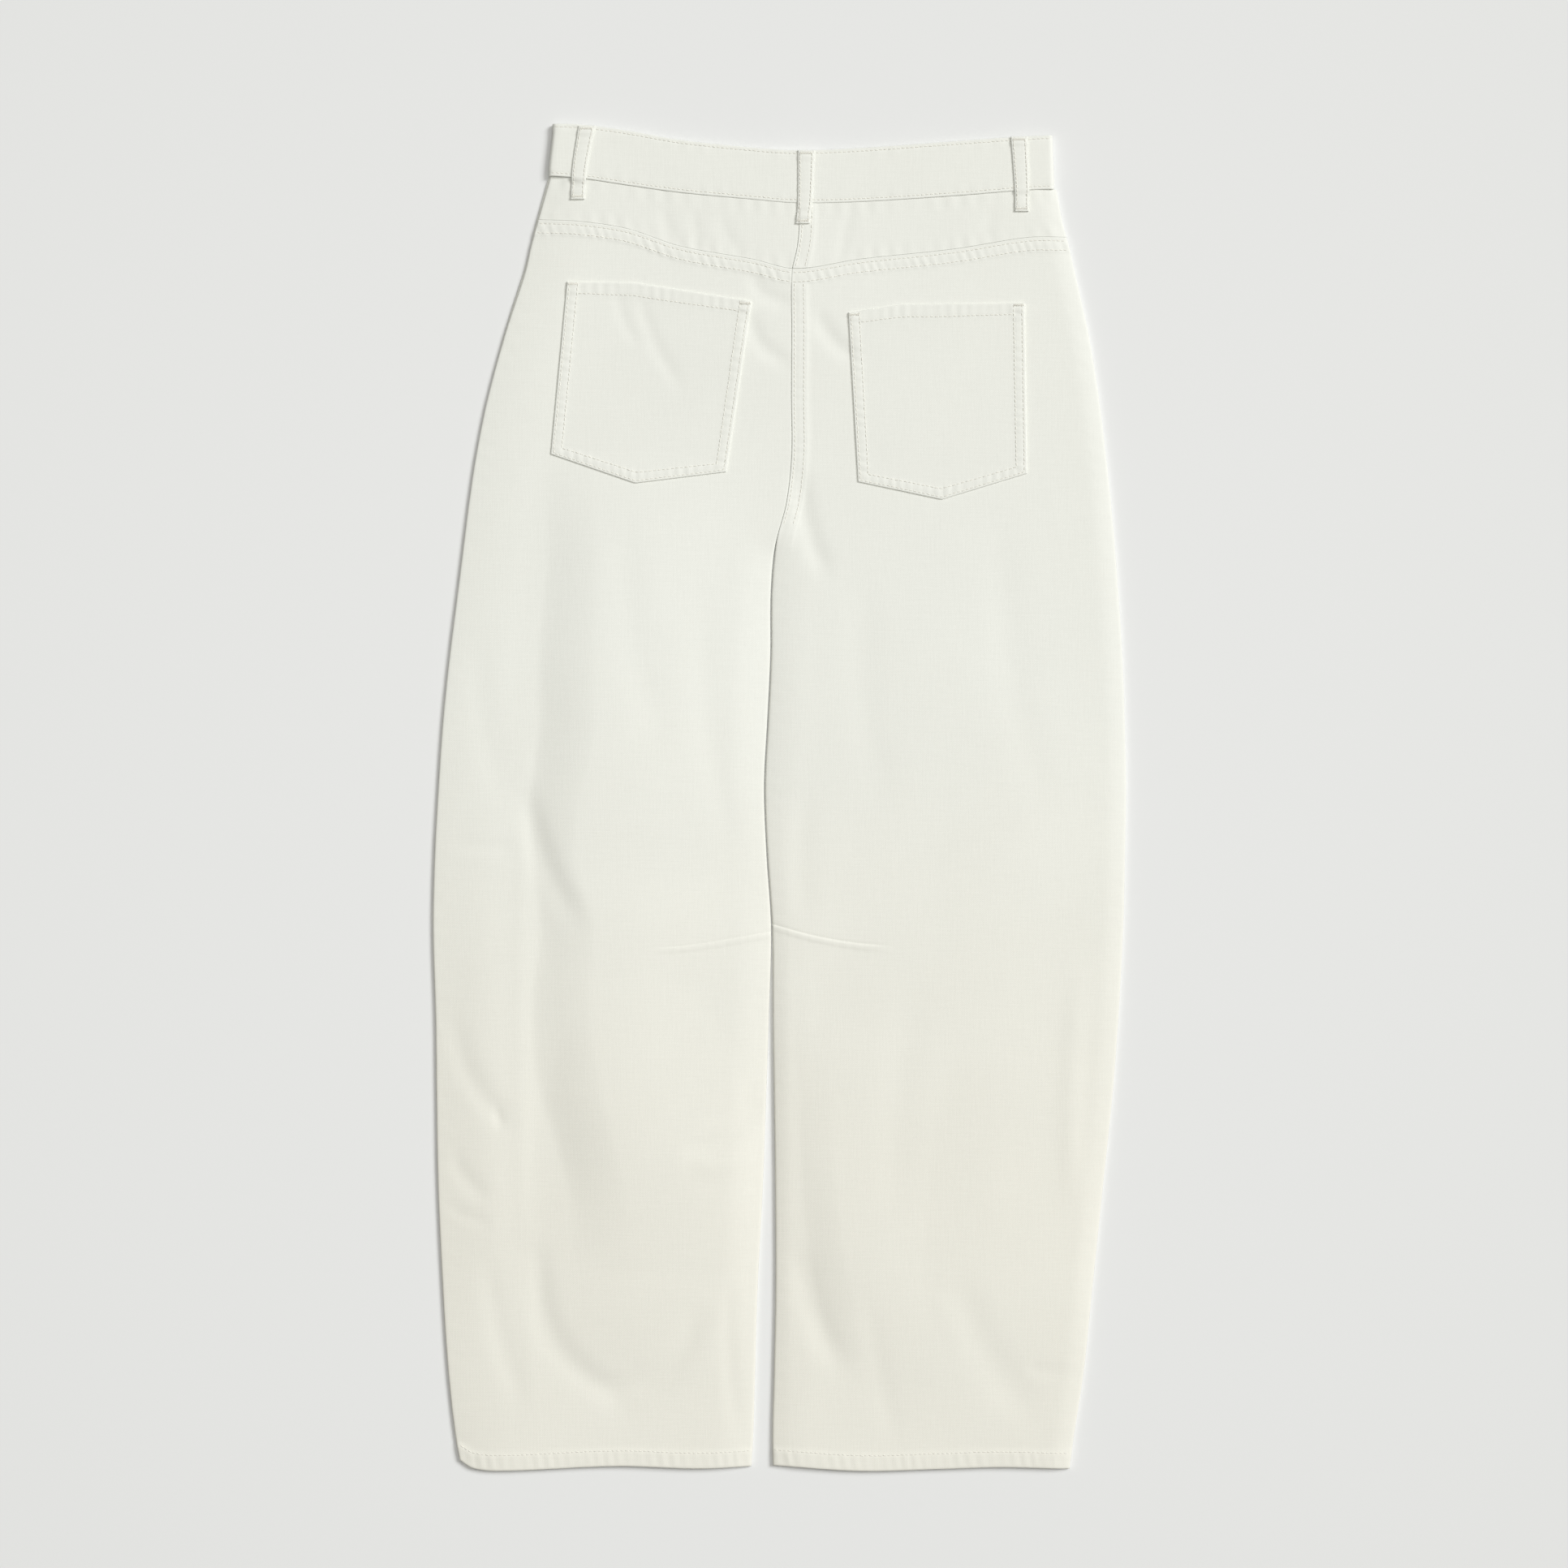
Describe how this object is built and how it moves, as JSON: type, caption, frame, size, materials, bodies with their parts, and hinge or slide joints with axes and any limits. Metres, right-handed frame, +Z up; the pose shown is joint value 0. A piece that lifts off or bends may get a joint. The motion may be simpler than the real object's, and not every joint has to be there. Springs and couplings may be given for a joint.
{
  "type": "barrel leg trousers laid flat",
  "caption": "Cream denim barrel leg trousers laid flat with the back showing: waistband with belt loops, back yoke, patch pockets, knee darts and hemmed bowed legs.",
  "frame": {"origin": "under the middle of the garment's bounding box, on the surface it lies on", "axes": "+X towards the right leg as the back is seen, +Y up to the waist, +Z up off the surface"},
  "size_m": [0.524, 1.0174, 0.0083],
  "materials": {
    "denim": "undyed cream cotton denim, matt, fine twill",
    "zip_tape": "woven cotton tape",
    "button_metal": "plain satin metal"
  },
  "bodies": {
    "root": {"front_left": "denim", "front_right": "denim", "back_left": "denim", "back_right": "denim", "yoke_left": "denim", "yoke_right": "denim", "waistband": "denim", "pocket_left": "denim", "pocket_right": "denim", "belt_loop_left": "denim", "belt_loop_middle": "denim", "belt_loop_right": "denim", "fly_zip": "zip_tape", "waist_button": "button_metal"}
  },
  "joints": []
}
